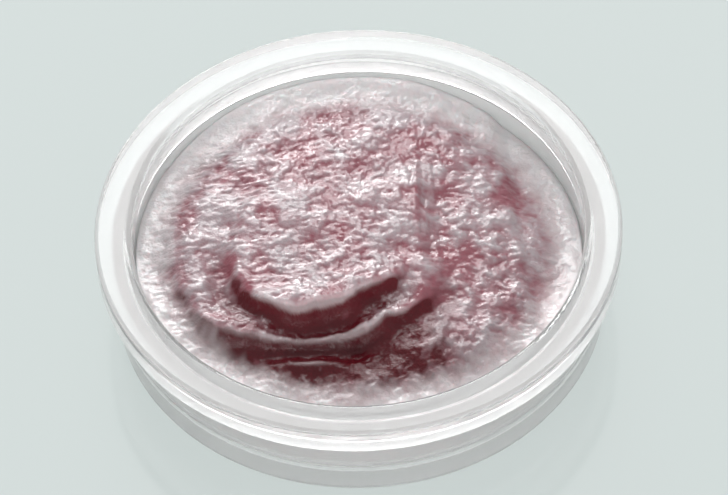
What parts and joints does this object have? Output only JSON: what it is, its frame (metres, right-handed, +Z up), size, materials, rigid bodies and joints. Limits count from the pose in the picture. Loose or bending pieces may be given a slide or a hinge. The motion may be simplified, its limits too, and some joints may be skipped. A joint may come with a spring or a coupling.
{
  "type": "cosmetic cream jar",
  "caption": "Open low-profile clear jar with a wide flat rim, a lift-out refill cup and a swirled pink cream fill.",
  "frame": {"origin": "centre of the face that the jar stands on", "axes": "+Z up along the jar's axis; the view that shows the swirl is from -Y"},
  "size_m": [0.07, 0.07, 0.015],
  "materials": {
    "jar_acrylic": "polished clear acrylic",
    "cup_clear": "clear moulded plastic",
    "gasket_silicone": "translucent pale silicone",
    "cream_gel": "wet translucent pink gel cream with fine grains"
  },
  "bodies": {
    "jar": {"outer_jar": "jar_acrylic", "rim_gasket": "gasket_silicone"},
    "cup": {"inner_cup": "cup_clear", "cream": "cream_gel"}
  },
  "joints": [
    {"name": "cup_lift", "type": "slide", "parent": "jar", "child": "cup", "axis": [0, 0, 1], "range_m": [0, 0.025]}
  ]
}
